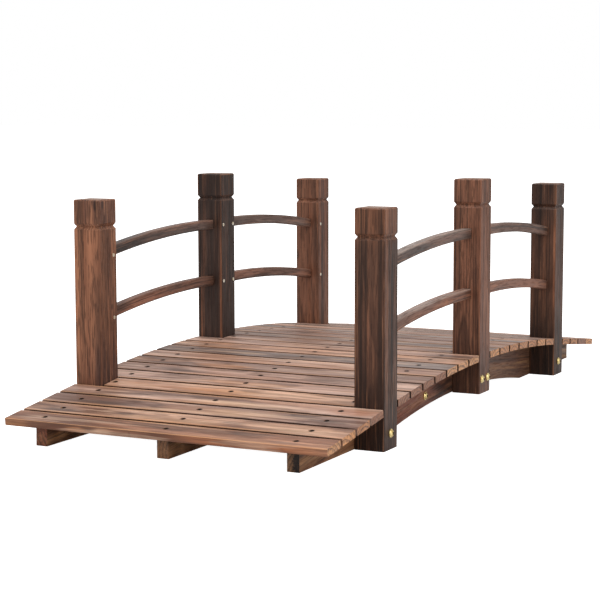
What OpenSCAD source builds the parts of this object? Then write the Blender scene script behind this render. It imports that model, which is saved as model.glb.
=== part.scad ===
// Low arched garden footbridge of charred fir. A slatted deck lies on three arched
// stringers, each spliced at mid-span, and six grooved posts carry bowed rails.
// X runs along the bridge with the near end at -X, the left railing is at +Y,
// Z is up, and the feet stand on z = 0.

/* [Deck] */
// Length of the deck from end to end, along the ground
deck_length = 1520; // [1440:10:1680]
// Width of the deck over its long boards
deck_width = 670; // [600:5:760]
// Height of the deck's top face at mid-span
crown_height = 114; // [108:1:126]
// Radius of the deck's top face over the middle of the bridge
crown_radius = 3950; // [3600:50:4600]
// Distance from mid-span at which the curve runs out into a straight ramp
ramp_start = 490; // [430:5:540]
// Thickness of a deck board
board_thickness = 14; // [10:0.5:18]
// Gap between neighbouring boards, measured along the deck
board_gap = 7.8; // [4:0.2:10]
// Chamfer along the upper long edges of a board
board_chamfer = 0.8; // [0.4:0.2:3]
// End clearance of the short boards that lie between two posts
short_board_clearance = 2; // [0.5:0.5:6]

/* [Deck screws] */
// Diameter of a deck screw's hole through a board
screw_hole = 4; // [3:0.2:6]
// Diameter of the recess in which a deck screw's head is sunk
screw_sink = 10; // [7:0.5:13]
// Depth of that recess
screw_sink_depth = 2.6; // [1:0.2:6]

/* [Stringers] */
// Thickness of a stringer plank
stringer_thickness = 24; // [18:1:32]
// Distance by which the stringers stop short of the deck's end
stringer_end_inset = 15; // [5:1:40]
// Rise of the arch that is cut under the stringers, at mid-span
arch_rise = 33; // [22:1:42]
// Distance from mid-span to the start of the flat feet
arch_half_span = 392; // [340:2:440]
// Gap in the butt joint between the two halves of a stringer
butt_gap = 0.4; // [0.2:0.1:2]

/* [Splice cleats] */
// Thickness of the cleat that joins the two halves of a stringer
cleat_thickness = 20; // [12:1:28]
// Reach of a cleat to either side of mid-span
cleat_reach = 205; // [195:1:260]
// Clearance of a cleat from the arch below it and from the boards above it
cleat_margin = 4; // [2:0.5:8]

/* [Posts] */
// Width of a square post
post_width = 60.5; // [50:0.5:64]
// Length of every post
post_height = 446; // [400:2:520]
// Height of the middle posts' feet above the ground
mid_post_foot = 31.5; // [26:0.5:36]
// Depth of the groove's centre line below the top of a post
groove_drop = 53; // [35:1:75]
// Height of the groove's mouth
groove_height = 13; // [8:0.5:18]
// Depth of the groove
groove_depth = 4.4; // [2:0.2:7]
// Chamfer round the top of a post
post_top_chamfer = 2.5; // [1:0.5:6]
// Chamfer along the upright edges of a post
post_arris = 1.5; // [0.5:0.5:4]

/* [Rails] */
// Height of a rail's section
rail_height = 20.6; // [14:0.2:24]
// Thickness of a rail across the bridge
rail_thickness = 19; // [14:0.5:24]
// Chamfer along the edges of a rail
rail_chamfer = 1.6; // [0.4:0.2:4]
// Depth of the upper rail's centre line below the top of a middle post
rail_mid_drop = 111.8; // [95:0.2:125]
// Depth of the upper rail's centre line below the top of an end post
rail_end_drop = 108.8; // [95:0.2:125]
// Distance from the upper rail down to the lower one
rail_spacing = 125; // [105:1:140]
// Rise of a rail's bow over the straight line between its two posts
rail_bow = 9.2; // [4:0.2:16]
// Length of a rail's end that is housed in a post
rail_housing = 15; // [8:0.5:20]
// Clearance all round a rail's end in its mortise
mortise_clearance = 0.3; // [0.1:0.1:0.8]

/* [Bolt holes] */
// Diameter of the bolt holes
bolt_hole = 8.4; // [6:0.2:12]
// Height of the bolts above the foot of their post
post_bolt_height = 30.5; // [22:0.5:38]
// Distance of a middle post's two bolts from mid-span
mid_bolt_offset = 16.5; // [12:0.5:20]
// Distance of the outer cleat bolts from mid-span
cleat_bolt_offset = 178; // [120:1:185]
// Height of the outer cleat bolts above the ground
cleat_bolt_height = 47; // [44:0.5:60]

/* [Hidden] */
BOARDS = 25;
MIDDLE_BOARD = 13;
// A post stands at the middle board and at the eighth board to either side
POST_BOARD_STEP = 8;
// Facets that stand in for the long arcs and for the round holes
ARC_FACETS = 1440;
HOLE_FACETS = 48;
// Overrun of a cutting solid past the face that it cuts
cut = 1;

SIDES = [["left", 1], ["right", -1]];
ROWS = [["left", 1], ["centre", 0], ["right", -1]];
BAYS = [["near", -1], ["far", 1]];
PLACES = [["near", -1], ["mid", 0], ["far", 1]];
LEVELS = [["upper", 0], ["lower", 1]];

function board_name(i) = str("deck_board_", i < 10 ? "0" : "", i);
function post_name(side, place) = str("post_", side[0], "_", place[0]);
function rail_name(side, bay, level) = str("rail_", side[0], "_", bay[0], "_", level[0]);
function stringer_name(row, bay) = str("stringer_", row[0], "_", bay[0]);
function cleat_name(row) = str("splice_cleat_", row[0]);

// Deck line: an arc over the middle, then a ramp along its tangent
ramp_angle = asin(ramp_start / crown_radius);
arc_centre_z = crown_height - crown_radius;
arc_length = crown_radius * ramp_angle * PI / 180;
ramp_length = (deck_length / 2 - ramp_start) / cos(ramp_angle);
board_pitch = (2 * (arc_length + ramp_length) + board_gap) / BOARDS;
board_width = board_pitch - board_gap;

// Position and fall of the deck's top face at a distance s along it from mid-span
function deck_angle(s) = min(abs(s), arc_length) / crown_radius * 180 / PI;
function past_arc(s) = max(abs(s) - arc_length, 0);
function deck_x(s) = sign(s) * (crown_radius * sin(deck_angle(s)) + past_arc(s) * cos(ramp_angle));
function deck_z(s) = arc_centre_z + crown_radius * cos(deck_angle(s)) - past_arc(s) * sin(ramp_angle);

// Top of the stringers, one board thickness under the deck line
seat_radius = crown_radius - board_thickness;
seat_ramp_x = seat_radius * sin(ramp_angle);
seat_ramp_z = arc_centre_z + seat_radius * cos(ramp_angle);
stringer_end_x = deck_length / 2 - stringer_end_inset;
stringer_end_z = seat_ramp_z - (stringer_end_x - seat_ramp_x) * tan(ramp_angle);
function seat_z(x) = arc_centre_z + sqrt(pow(seat_radius, 2) - pow(x, 2));
arch_radius = (pow(arch_half_span, 2) + pow(arch_rise, 2)) / (2 * arch_rise);

// Posts stand flush with the deck's edge, and the outer stringers lie against them
post_x = deck_x(POST_BOARD_STEP * board_pitch);
post_y = (deck_width - post_width) / 2;
post_inner_y = deck_width / 2 - post_width;
stringer_y = post_inner_y - stringer_thickness / 2;
short_board_length = 2 * (post_inner_y - short_board_clearance);
function post_foot(place) = place[1] == 0 ? mid_post_foot : 0;
function is_post_board(i) = (i - MIDDLE_BOARD) % POST_BOARD_STEP == 0 && abs(i - MIDDLE_BOARD) <= POST_BOARD_STEP;

// Cleats lie inside the outer stringers and on the left of the centre one
cleat_low = arch_rise + cleat_margin;
cleat_high = seat_z(cleat_reach) - cleat_margin;
cleat_shift = (stringer_thickness + cleat_thickness) / 2;
function cleat_y(row) = row[1] == 0 ? cleat_shift : row[1] * (stringer_y - cleat_shift);

// Rail line of one bay: a shallow arc through two points on the posts' faces
rail_from = [post_width / 2, mid_post_foot + post_height - rail_mid_drop];
rail_to = [post_x - post_width / 2, post_height - rail_end_drop];
rail_chord = norm(rail_to - rail_from);
rail_along = (rail_to - rail_from) / rail_chord;
rail_up = [-rail_along[1], rail_along[0]];
rail_radius = pow(rail_chord, 2) / (8 * rail_bow) + rail_bow / 2;
rail_centre = (rail_from + rail_to) / 2 - rail_up * (rail_radius - rail_bow);
// Half of the angle that the rail's arc spans, with room for the housed ends
rail_half_angle = asin((rail_chord / 2 + 2 * rail_housing) / rail_radius);
rail_mid_angle = atan2(rail_up[1], rail_up[0]);

// Turns a flat outline drawn in X and Z into a plank of a given thickness along Y
module plank(thickness) {
    rotate([90, 0, 0]) linear_extrude(thickness, center = true) children();
}

// Bolt hole through everything on one side of the bridge
module bolt_bore(x, z, y_from, y_to) {
    translate([x, y_from, z])
        rotate([-90, 0, 0])
            cylinder(h = y_to - y_from, d = bolt_hole, $fn = HOLE_FACETS);
}

// All bolt holes that pass through the pieces near the line y
module bolt_bores(y) {
    reach = post_width + stringer_thickness + cleat_thickness;
    for (end = [-1, 1]) {
        bolt_bore(end * mid_bolt_offset, mid_post_foot + post_bolt_height, y - reach, y + reach);
        bolt_bore(end * cleat_bolt_offset, cleat_bolt_height, y - reach, y + reach);
    }
}

// Bolt holes of the end posts, which only the outer stringers share
module end_post_bores(y) {
    reach = post_width + stringer_thickness;
    for (end = [-1, 1])
        bolt_bore(end * post_x, post_bolt_height, y - reach, y + reach);
}

module board_outline() {
    half = board_width / 2;
    polygon([
        [-half, -board_thickness],
        [half, -board_thickness],
        [half, -board_chamfer],
        [half - board_chamfer, 0],
        [board_chamfer - half, 0],
        [-half, -board_chamfer]
    ]);
}

// Hole and sunk recess of one deck screw on the middle line of a board
module screw_bore(y) {
    translate([0, y, -board_thickness - cut])
        cylinder(h = board_thickness + 2 * cut, d = screw_hole, $fn = HOLE_FACETS);
    translate([0, y, -screw_sink_depth])
        cylinder(h = screw_sink_depth + cut, d = screw_sink, $fn = HOLE_FACETS);
}

// A board with one screw over each stringer
module deck_board(i) {
    s = (i - MIDDLE_BOARD) * board_pitch;
    length = is_post_board(i) ? short_board_length : deck_width;
    color([0.72, 0.59, 0.49])
        translate([deck_x(s), 0, deck_z(s)])
            rotate([0, sign(s) * deck_angle(s), 0])
                difference() {
                    plank(length) board_outline();
                    for (row = ROWS)
                        screw_bore(row[1] * stringer_y);
                }
}

// Side outline of a post, with the groove nicked into both edges
module post_outline() {
    half = post_width / 2;
    groove_z = post_height - groove_drop;
    right = [
        [half, 0],
        [half, groove_z - groove_height / 2],
        [half - groove_depth, groove_z],
        [half, groove_z + groove_height / 2],
        [half, post_height - post_top_chamfer],
        [half - post_top_chamfer, post_height]
    ];
    left = [for (k = [len(right) - 1 : -1 : 0]) [-right[k][0], right[k][1]]];
    polygon(concat(right, left));
}

// Section of a post with its upright edges taken off
module post_section() {
    half = post_width / 2;
    inner = half - post_arris;
    polygon([
        [-inner, -half], [inner, -half], [half, -inner], [half, inner],
        [inner, half], [-inner, half], [-half, inner], [-half, -inner]
    ]);
}

module post_blank() {
    intersection() {
        plank(post_width) post_outline();
        rotate([0, 0, 90]) plank(post_width) post_outline();
        linear_extrude(post_height) post_section();
    }
}

// One rail of a bay at the given distance under the upper rail's line, grown all round
module rail_bar(drop, grow) {
    half_h = rail_height / 2 + grow;
    half_t = rail_thickness / 2 + grow;
    start = rail_from[0] - rail_housing - grow;
    length = rail_to[0] - rail_from[0] + 2 * (rail_housing + grow);
    translate([0, 0, -drop])
        intersection() {
            translate([rail_centre[0], 0, rail_centre[1]])
                rotate([90, 0, 0])
                    rotate([0, 0, rail_mid_angle - rail_half_angle])
                        rotate_extrude(angle = 2 * rail_half_angle, $fn = ARC_FACETS)
                            translate([rail_radius, 0]) rail_section(half_h, half_t);
            translate([start, -half_t - cut, rail_to[1] - post_height / 2])
                cube([length, 2 * (half_t + cut), post_height]);
        }
}

// Section of a rail, upright along the first axis
module rail_section(half_h, half_t) {
    c = rail_chamfer;
    polygon([
        [-half_h, c - half_t], [c - half_h, -half_t], [half_h - c, -half_t], [half_h, c - half_t],
        [half_h, half_t - c], [half_h - c, half_t], [c - half_h, half_t], [-half_h, half_t - c]
    ]);
}

// A rail, or with some growth the space that its ends need, in its place
module placed_rail(side, bay, level, grow = 0) {
    translate([0, side[1] * post_y, 0])
        mirror([bay[1] < 0 ? 1 : 0, 0, 0])
            rail_bar(level[1] * rail_spacing, grow);
}

module rail(side, bay, level) {
    color([0.42, 0.31, 0.26]) placed_rail(side, bay, level);
}

module post(side, place) {
    color([0.38, 0.25, 0.19])
        difference() {
            translate([place[1] * post_x, side[1] * post_y, post_foot(place)]) post_blank();
            for (bay = BAYS, level = LEVELS)
                if (place[1] == 0 || place[1] == bay[1])
                    placed_rail(side, bay, level, mortise_clearance);
            if (place[1] == 0)
                bolt_bores(side[1] * post_y);
            else
                end_post_bores(side[1] * post_y);
        }
}

// Side outline of the far half of a stringer: arc and ramp on top, arch and foot below
module stringer_outline() {
    difference() {
        union() {
            intersection() {
                translate([0, arc_centre_z]) circle(seat_radius, $fn = 2 * ARC_FACETS);
                translate([butt_gap / 2, 0]) square([seat_ramp_x - butt_gap / 2, crown_height]);
            }
            polygon([
                [seat_ramp_x, 0],
                [stringer_end_x, 0],
                [stringer_end_x, stringer_end_z],
                [seat_ramp_x, seat_ramp_z]
            ]);
        }
        translate([0, arch_rise - arch_radius]) circle(arch_radius, $fn = 2 * ARC_FACETS);
    }
}

module stringer(row, bay) {
    y = row[1] * stringer_y;
    color([0.36, 0.25, 0.18])
        difference() {
            mirror([bay[1] < 0 ? 1 : 0, 0, 0])
                translate([0, y, 0]) plank(stringer_thickness) stringer_outline();
            bolt_bores(y);
            if (row[1] != 0)
                end_post_bores(y);
        }
}

module splice_cleat(row) {
    color([0.40, 0.29, 0.21])
        difference() {
            translate([-cleat_reach, cleat_y(row) - cleat_thickness / 2, cleat_low])
                cube([2 * cleat_reach, cleat_thickness, cleat_high - cleat_low]);
            bolt_bores(cleat_y(row));
        }
}

for (i = [1 : BOARDS])
    deck_board(i);
for (side = SIDES, place = PLACES)
    post(side, place);
for (side = SIDES, bay = BAYS, level = LEVELS)
    rail(side, bay, level);
for (row = ROWS, bay = BAYS)
    stringer(row, bay);
for (row = ROWS)
    splice_cleat(row);
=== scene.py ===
# %% [markdown]
# # A low arched garden footbridge in charred fir
# The bridge is a kit: boards across, three arched stringers under them, six square posts and bowed
# rails. The solids come from CAD and stay as they are. This lesson dresses them: every timber gets
# its own wood, worked out in three dimensions, and Geometry Nodes add the screws and bolts.

# %% Load the frame
import math
import random
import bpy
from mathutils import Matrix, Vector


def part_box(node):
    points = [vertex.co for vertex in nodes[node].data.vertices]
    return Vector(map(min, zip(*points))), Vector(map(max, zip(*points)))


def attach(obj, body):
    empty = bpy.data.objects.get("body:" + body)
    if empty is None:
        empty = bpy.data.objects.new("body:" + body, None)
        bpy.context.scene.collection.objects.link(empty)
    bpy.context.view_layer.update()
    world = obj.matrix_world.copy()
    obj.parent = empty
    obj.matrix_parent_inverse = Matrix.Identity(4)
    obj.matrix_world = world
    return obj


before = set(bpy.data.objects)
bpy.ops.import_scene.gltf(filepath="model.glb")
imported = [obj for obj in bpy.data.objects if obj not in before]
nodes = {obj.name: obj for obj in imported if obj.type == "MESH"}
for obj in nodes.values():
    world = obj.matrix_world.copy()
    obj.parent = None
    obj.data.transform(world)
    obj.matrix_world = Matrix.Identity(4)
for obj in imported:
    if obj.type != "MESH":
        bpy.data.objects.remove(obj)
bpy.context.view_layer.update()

from types import SimpleNamespace

import bpy
from mathutils import Matrix, Vector

MM = 0.001
scene = bpy.context.scene

# %% [markdown]
# ## Camera
# The picture was taken from beyond the near end, a little above the posts, with a long lens. A camera
# can be aimed with a constraint, but then its roll can't be set. Here the three axes are worked out
# from a compass heading, a dip and a roll, and written into the camera's matrix.

# %% Camera
CAMERA_PLACE = Vector((-3.3758, -1.5904, 0.6442))
CAMERA_LENS = 104.04
CAMERA_SENSOR = 36.0
CAMERA_REACH = 200.0
CAMERA_HEADING = math.radians(26.541)
CAMERA_DIP = math.radians(-6.652)
CAMERA_ROLL = math.radians(-0.112)


def camera_axes(heading, dip, roll):
    """The camera's right, up and backward axes."""
    forward = Vector((math.cos(dip) * math.cos(heading), math.cos(dip) * math.sin(heading), math.sin(dip)))
    level = Vector((math.sin(heading), -math.cos(heading), 0.0))
    upright = level.cross(forward)
    right = level * math.cos(roll) + upright * math.sin(roll)
    up = upright * math.cos(roll) - level * math.sin(roll)
    return right, up, -forward


camera_data = bpy.data.cameras.new("camera")
camera_data.lens = CAMERA_LENS
camera_data.sensor_width = CAMERA_SENSOR
camera_data.clip_end = CAMERA_REACH
camera = bpy.data.objects.new("camera", camera_data)
scene.collection.objects.link(camera)
camera_turn = Matrix(camera_axes(CAMERA_HEADING, CAMERA_DIP, CAMERA_ROLL)).transposed()
camera.matrix_world = Matrix.Translation(CAMERA_PLACE) @ camera_turn.to_4x4()
scene.camera = camera
print("camera: lens", CAMERA_LENS, "mm at", [round(v, 3) for v in CAMERA_PLACE])

# %% [markdown]
# ## Shader arithmetic
# A wood shader is mostly sums: distances, masks, products of masks. Wired by hand that is a hundred
# small nodes. This class wraps one socket, so that `1 - mask * 0.5` in Python adds the Math nodes by
# itself. Anything that isn't arithmetic goes through one method, `node`.

# %% A socket that can be added and multiplied


class Strand:
    """One value in a shader tree. Operators on it add Math nodes."""

    def __init__(self, tree, socket=None):
        self.tree = tree
        self.socket = socket

    def node(self, kind, settings=None, sockets=None, out=0):
        """Add any node. Its settings are set first, then its sockets, by name or by number."""
        made = self.tree.nodes.new(kind)
        for name, value in (settings or {}).items():
            setattr(made, name, value)
        for name, value in (sockets or {}).items():
            if isinstance(value, Strand):
                self.tree.links.new(value.socket, made.inputs[name])
            else:
                made.inputs[name].default_value = value
        return Strand(self.tree, made.outputs[out] if made.outputs else None)

    def beside(self, out):
        """Another output of the node that this value comes from."""
        return Strand(self.tree, self.socket.node.outputs[out])

    def math(self, operation, *values):
        return self.node("ShaderNodeMath", {"operation": operation}, dict(enumerate(values)))

    def vector(self, operation, *values, out=0):
        return self.node("ShaderNodeVectorMath", {"operation": operation}, dict(enumerate(values)), out)

    def __add__(self, other):
        return self.math("ADD", self, other)

    def __radd__(self, other):
        return self.math("ADD", other, self)

    def __sub__(self, other):
        return self.math("SUBTRACT", self, other)

    def __rsub__(self, other):
        return self.math("SUBTRACT", other, self)

    def __mul__(self, other):
        return self.math("MULTIPLY", self, other)

    def __rmul__(self, other):
        return self.math("MULTIPLY", other, self)

    def __truediv__(self, other):
        return self.math("DIVIDE", self, other)

    def __rtruediv__(self, other):
        return self.math("DIVIDE", other, self)

    def __abs__(self):
        return self.math("ABSOLUTE", self)

    def ramp(self, low, high):
        """0 below low, 1 above high, and a smooth rise between. With low above high it falls."""
        return self.node(
            "ShaderNodeMapRange",
            {"interpolation_type": "SMOOTHSTEP"},
            {"Value": self, "From Min": low, "From Max": high},
        )

    def at_least(self, floor):
        """This mask squeezed, so that it runs from floor to 1."""
        return floor + self * (1.0 - floor)

    def tint(self, under, over):
        """This value as a mask: colour over laid on colour under."""
        return self.node("ShaderNodeMix", {"data_type": "RGBA"}, {0: self, 6: under, 7: over}, out=2)


print("operators that also work with a number on the left: + - * /")

# %% Stains and empty materials


def stain(red, green, blue):
    """A screen colour, 0 to 255, as the linear colour that Blender's sockets take."""
    def linear(value):
        value = value / 255
        return value / 12.92 if value <= 0.04045 else ((value + 0.055) / 1.055) ** 2.4
    return (linear(red), linear(green), linear(blue), 1.0)


def bare_material(name):
    """A new material with an empty tree, and the start of that tree."""
    material = bpy.data.materials.new(name)
    material.use_nodes = True
    material.node_tree.nodes.clear()
    return material, Strand(material.node_tree)


def close_surface(start, sockets):
    """End a material's tree with a Principled shader that has these sockets."""
    shader = start.node("ShaderNodeBsdfPrincipled", {}, sockets)
    start.node("ShaderNodeOutputMaterial", {}, {"Surface": shader})


print("stain test: mid grey is", round(stain(128, 128, 128)[0], 3))

# %% [markdown]
# ## Studio
# A kit like this is shown on a white sweep under soft light. A white world alone is flat, so one
# large panel overhead and one at the right give the tops and the outer faces a little more, and the
# floor sends light up under the deck. The floor is pale and only lightly shaded.

# %% The white room
ROOM_LIGHT = 0.72

scene.view_settings.view_transform = "Standard"


def white_room():
    """A world that looks white, but lights the object with less than it shows."""
    room = bpy.data.worlds.new("studio")
    room.use_nodes = True
    room.node_tree.nodes.clear()
    start = Strand(room.node_tree)
    seen = start.node("ShaderNodeLightPath", out="Is Camera Ray")
    glow = start.node(
        "ShaderNodeBackground",
        {},
        {"Color": (1.0, 1.0, 1.0, 1.0), "Strength": ROOM_LIGHT + seen * (1.0 - ROOM_LIGHT)},
    )
    start.node("ShaderNodeOutputWorld", {}, {"Surface": glow})
    return room


scene.world = white_room()
print("room: lights with", ROOM_LIGHT, "of the white that it shows")

# %% The floor
FLOOR_SIZE = 60.0
FLOOR_DROP = 0.0004
FLOOR_GLOW = 0.97
FLOOR_MOTTLE = 3.0


def pale_floor():
    """White card: it scatters light, and glows to the camera so that its shadows stay soft."""
    material, start = bare_material("pale_floor")
    spot = start.node("ShaderNodeTexCoord", out="Object")
    mottle = start.node("ShaderNodeTexNoise", {}, {"Vector": spot, "Scale": FLOOR_MOTTLE, "Detail": 2.0})
    close_surface(
        start,
        {
            "Base Color": mottle.tint(stain(226, 226, 226), stain(232, 232, 232)),
            "Roughness": 0.9,
            "Specular IOR Level": 0.0,
            "Emission Color": start.node("ShaderNodeLightPath", out="Is Camera Ray"),
            "Emission Strength": FLOOR_GLOW,
        },
    )
    return material


half_floor = FLOOR_SIZE / 2
floor_mesh = bpy.data.meshes.new("floor")
signs = [(-1, -1), (1, -1), (1, 1), (-1, 1)]
floor_corners = [(x * half_floor, y * half_floor, -FLOOR_DROP) for x, y in signs]
floor_mesh.from_pydata(floor_corners, [], [(0, 1, 2, 3)])
floor_mesh.materials.append(pale_floor())
floor = bpy.data.objects.new("floor", floor_mesh)
scene.collection.objects.link(floor)
print("floor:", FLOOR_SIZE, "m wide")

# %% The lights
PANELS = {
    "panel_top": ((-0.6, -0.4, 3.2), (0.0, 0.0, 0.1), 3.0, 54.0),
    "panel_right": ((-1.0, -3.6, 1.7), (0.0, 0.0, 0.2), 2.4, 26.0),
}

for panel_name, (place, aim, size, watts) in PANELS.items():
    panel_data = bpy.data.lights.new(panel_name, "AREA")
    panel_data.shape = "DISK"
    panel_data.size = size
    panel_data.energy = watts
    panel = bpy.data.objects.new(panel_name, panel_data)
    scene.collection.objects.link(panel)
    panel.location = place
    panel.rotation_mode = "QUATERNION"
    panel.rotation_quaternion = (Vector(aim) - Vector(place)).to_track_quat("-Z", "Y")
print("lights:", len(PANELS), "panels")

# %% [markdown]
# ## Where the grain runs
# Wood is a solid, so its figure is worked out in three dimensions and every face cuts through it. For
# that each timber needs its own axes: along the grain, across the width, and through the thickness.
# An unwrap would stretch the rings at the corners. Object coordinates, moved and turned by a Mapping
# node, keep them true from face to end grain.

# %% The lie of a timber
class Lie:
    """A timber's centre, turn and half sizes, along, across and through the grain, and its bow."""

    def __init__(self, name, along, face, bow=0.0):
        grain = Vector(along).normalized()
        out = Vector(face)
        out = (out - grain * grain.dot(out)).normalized()
        into_grain = Matrix((grain, out.cross(grain), out))
        reach = [into_grain @ corner.co for corner in nodes[name].data.vertices]
        low = Vector([min(axis) for axis in zip(*reach)])
        high = Vector([max(axis) for axis in zip(*reach)])
        self.name = name
        self.axes = into_grain
        self.centre = into_grain.transposed() @ ((low + high) / 2)
        self.half = (high - low) / 2 - Vector((0.0, bow / 2, 0.0))
        self.bow = bow
        self.turn = into_grain.transposed().to_euler()


LOOKS_UP = 0.9


def top_normal(name):
    """The direction that a board's upper faces look in, where the wide ones count most."""
    upward = [face for face in nodes[name].data.polygons if face.normal.z > LOOKS_UP]
    return sum((face.normal * face.area for face in upward), Vector()).normalized()


def grain_space(start, lie):
    """Coordinates in metres: x along the grain, y across the width, z through the thickness."""
    spot = start.node("ShaderNodeTexCoord", out="Object")
    plain = start.node(
        "ShaderNodeMapping",
        {"vector_type": "TEXTURE"},
        {"Vector": spot, "Location": lie.centre, "Rotation": lie.turn},
    )
    if not lie.bow:
        return plain
    along = start.node("ShaderNodeSeparateXYZ", {}, {"Vector": plain}) / lie.half.x
    lift = start.node("ShaderNodeCombineXYZ", {}, {"Y": (0.5 - along * along) * lie.bow})
    return start.vector("ADD", plain, lift)


first_lie = Lie("deck_board_01", (0, 1, 0), top_normal("deck_board_01"))
print("first board, half sizes in mm:", [round(v / MM, 1) for v in first_lie.half])

# %% [markdown]
# ## Grain, rings, knots and smoke
# Fir has growth rings with a sharp dark edge, fine fibres, and a knot now and then that pushes the
# rings aside. The maker scorches the planed timber and brushes it, which leaves dark streaks along the
# grain and smoky clouds. Each of these is one short function that returns a mask from 0 to 1.

# %% Clouds stretched along the grain
NOISE_SPREAD = 60
NOISE_ROUGHNESS = 0.55
DRIFT_DETAIL = 1.5


def shift(seed):
    """A far-off place in the noise for each seed, so that no two timbers match."""
    pick = random.Random(seed)
    return tuple(pick.uniform(-NOISE_SPREAD, NOISE_SPREAD) for axis in "xyz")


def noise(place, per_metre, seed, detail, out=0):
    """Noise with so many waves a metre along, across and through the grain."""
    spot = place.vector("MULTIPLY_ADD", place, per_metre, shift(seed))
    sockets = {"Vector": spot, "Scale": 1.0, "Detail": detail, "Roughness": NOISE_ROUGHNESS}
    return place.node("ShaderNodeTexNoise", {}, sockets, out)


def cloud(place, per_metre, seed, low=0.36, high=0.64, detail=2.0):
    """Noise spread to 0 to 1: low and high set how much is bare and how sharp its edges are."""
    return noise(place, per_metre, seed, detail).ramp(low, high)


def drift(place, per_metre, seed, amount):
    """The coordinates pushed gently sideways, so that lines wander along the timber."""
    push = place.vector("SUBTRACT", noise(place, per_metre, seed, DRIFT_DETAIL, "Color"), (0.5, 0.5, 0.5))
    return place.vector("MULTIPLY_ADD", push, (0.0, amount, amount), place)


print("noise: the first seed starts at", [round(v, 1) for v in shift(1)])

# %% Knots
KNOT_CELLS = (6.5, 13.0, 3.0)
KNOT_HEART = 0.085
KNOT_HALO = 0.17
KNOT_PULL = 0.46
KNOT_CORE = 0.55
KNOT_SCATTER = 0.75


def knots(place, seed, share):
    """Masks for the knots: the heart, the dark ring round it, and the pull on the grain."""
    spot = place.vector("MULTIPLY_ADD", place, KNOT_CELLS, shift(seed))
    sockets = {"Vector": spot, "Scale": 1.0, "Randomness": KNOT_SCATTER}
    distance = place.node("ShaderNodeTexVoronoi", {}, sockets)
    lottery = place.node("ShaderNodeSeparateColor", {}, {"Color": distance.beside("Color")})
    chosen = place.math("LESS_THAN", lottery, share)
    heart = distance.ramp(KNOT_HEART, KNOT_HEART * KNOT_CORE) * chosen
    halo = distance.ramp(KNOT_HALO, KNOT_HEART) * chosen
    pull = distance.ramp(KNOT_PULL, 0.0) * chosen
    return heart, halo, pull


print("knots: one cell is", [round(1 / waves / MM) for waves in KNOT_CELLS], "mm")

# %% Growth rings
RING_UNEVEN = 1.3
RING_UNEVEN_WAVES = 70.0
KNOT_PUSH = 0.011
TRUNK_TAPER = (0.012, 0.03)
LATE_WOOD = (0.35, 0.9)
RING_EDGE = (1.0, 0.93)


def growth_rings(place, pull, seed, gap, pith):
    """Distance from the pith in rings, as a mask that is 1 on the dark late wood."""
    pick = random.Random(seed)
    taper = pick.choice((-1, 1)) * pick.uniform(*TRUNK_TAPER)
    offset = place.vector("SUBTRACT", place, (0.0, *pith))
    flat = place.vector("MULTIPLY", offset, (0.0, 1.0, 1.0))
    along = place.node("ShaderNodeSeparateXYZ", {}, {"Vector": place})
    radius = place.vector("LENGTH", flat, out="Value") + along * taper + pull * KNOT_PUSH
    sockets = {"W": radius * RING_UNEVEN_WAVES, "Scale": 1.0}
    uneven = place.node("ShaderNodeTexNoise", {"noise_dimensions": "1D"}, sockets)
    ring = place.math("FRACT", radius / gap + uneven * RING_UNEVEN)
    return ring.ramp(*LATE_WOOD) * ring.ramp(*RING_EDGE)


print("rings: their width changes every", round(1 / RING_UNEVEN_WAVES / MM), "mm or so")

# %% Worn edges, sawn ends, and painted shade on the narrow sides
EDGE_TEAR = (7.0, 50.0, 50.0)
EDGE_PATCHES = (3.0, 9.0, 9.0)
EDGE_EVEN = 0.35
OFF_SIDE = (0.9, 0.7)
ON_END = (0.75, 0.95)
ON_SIDE = (0.8, 0.95)
OFF_FACE = (0.3, 0.6)
BEFORE_SIDE = (0.95, 0.8)
SIDE_END_LIGHT_REACH = 32 * MM


def facing(start, axis):
    """How squarely a face looks along an axis, one way or the other."""
    normal = start.node("ShaderNodeNewGeometry", out="Normal")
    return abs(start.vector("DOT_PRODUCT", normal, axis, out="Value"))


def worn_edge(place, lie, seed, reach):
    """1 at the long edges of a timber's faces, fading in over reach, broken up along the grain."""
    parts = place.node("ShaderNodeSeparateXYZ", {}, {"Vector": place})
    near_edge = abs(parts.beside("Y")).ramp(lie.half.y - reach, lie.half.y)
    on_face = facing(place, lie.axes[1]).ramp(*OFF_SIDE)
    ragged = cloud(place, EDGE_TEAR, seed, 0.3, 0.7)
    patchy = cloud(place, EDGE_PATCHES, seed + 1, 0.42, 0.58)
    return near_edge * on_face * ragged.at_least(EDGE_EVEN) * patchy


def end_grain(start, lie):
    """1 on faces that are sawn square across the grain."""
    return facing(start, lie.axes[0]).ramp(*ON_END)


def shaded_narrow_side(start, place, lie, bare_end):
    """1 on the narrow long sides, for painted shade in the gaps between boards, less bare_end close to the
    ends, as painted light where light reaches in.
    """
    along = abs(place.node("ShaderNodeSeparateXYZ", {}, {"Vector": place}))
    lit = along.ramp(lie.half.x - SIDE_END_LIGHT_REACH, lie.half.x)
    return facing(start, lie.axes[1]).ramp(*ON_SIDE) * (1.0 - lit * bare_end)


def chamfer(start, lie):
    """1 on the small slopes between a board's face and its sides."""
    slope = facing(start, lie.axes[1])
    return slope.ramp(*OFF_FACE) * slope.ramp(*BEFORE_SIDE)


# Painted light: the painted shade on a board's sides thins out over this reach near its ends.
print("sides: brushed over the last", round(SIDE_END_LIGHT_REACH / MM), "mm of a board")

# %% Patches, and painted shade round the screws and under the deck
PATCH_FADE = (1.1, 0.4)
PATCH_EVEN = 0.5


def patch(colour, depth, centre, reach):
    """A patch of colour in mm along, across and through: mostly where the flame or the brush stayed longer,
    on some pieces painted shade or a painted highlight.
    """
    return {"colour": colour, "depth": depth, "centre": Vector(centre) * MM, "reach": Vector(reach) * MM}


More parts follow.
